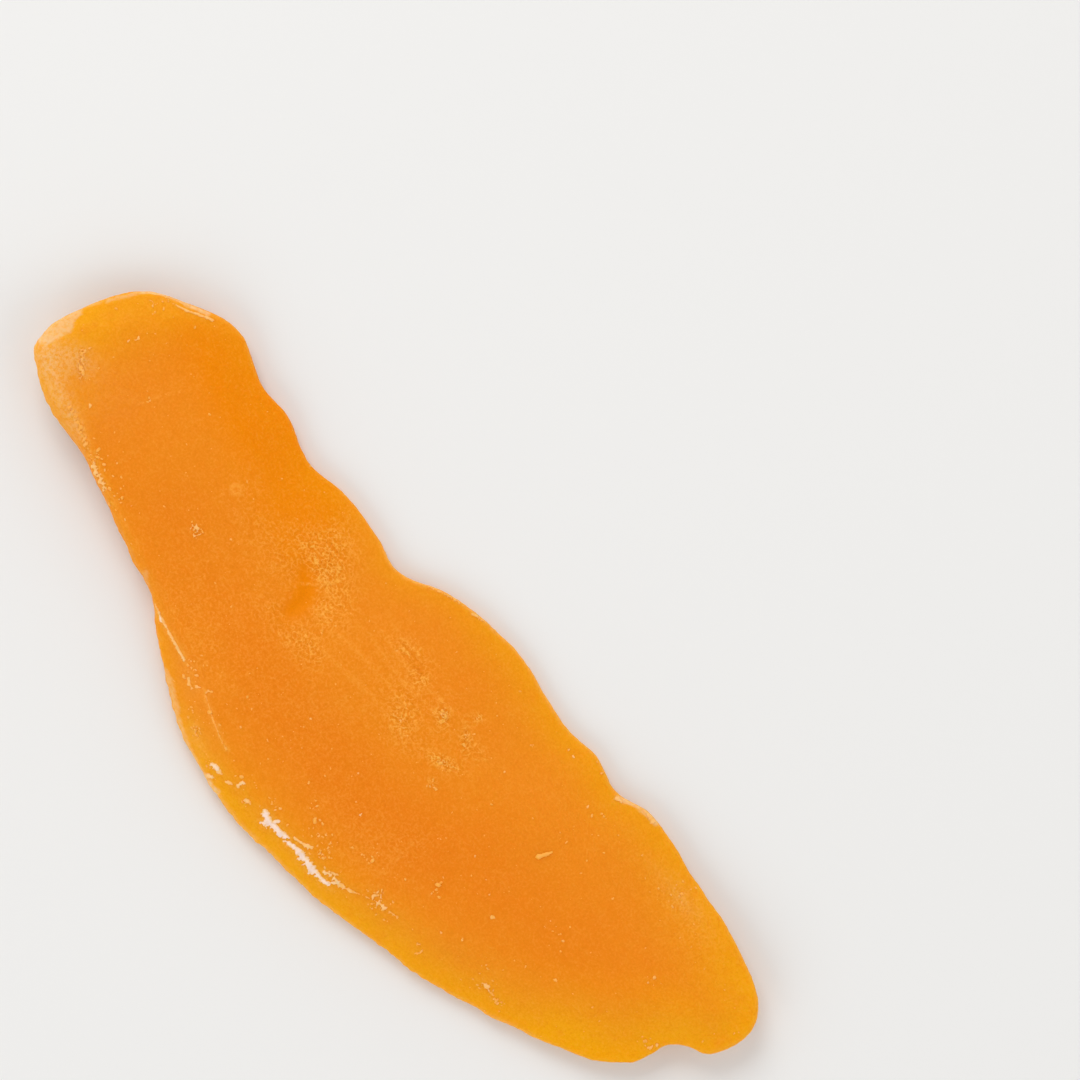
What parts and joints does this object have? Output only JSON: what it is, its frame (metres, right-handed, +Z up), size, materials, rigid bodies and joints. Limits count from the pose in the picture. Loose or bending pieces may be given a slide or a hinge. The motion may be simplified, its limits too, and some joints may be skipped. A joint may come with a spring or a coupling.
{
  "type": "dried mango slice",
  "caption": "Long, thin, slightly curled slice of dried mango with a cut bevel along one edge, a thin wavy edge along the other and a lobed end, for a bowl of snacks.",
  "frame": {"origin": "on the surface that the slice rests on, under the middle of its bounding box", "axes": "+X along the slice from its blunt end to its lobed end, +Y from the bevelled edge to the wavy edge, +Z up out of the shown face"},
  "size_m": [0.1192, 0.039, 0.0073],
  "materials": {
    "dried_flesh": "satin, slightly translucent orange fruit flesh, yellower where it is thin",
    "dried_sugar": "dull, off-white grains and crusts of dried fruit sugar"
  },
  "bodies": {
    "root": {"mango_slice": "dried_flesh"}
  },
  "joints": []
}
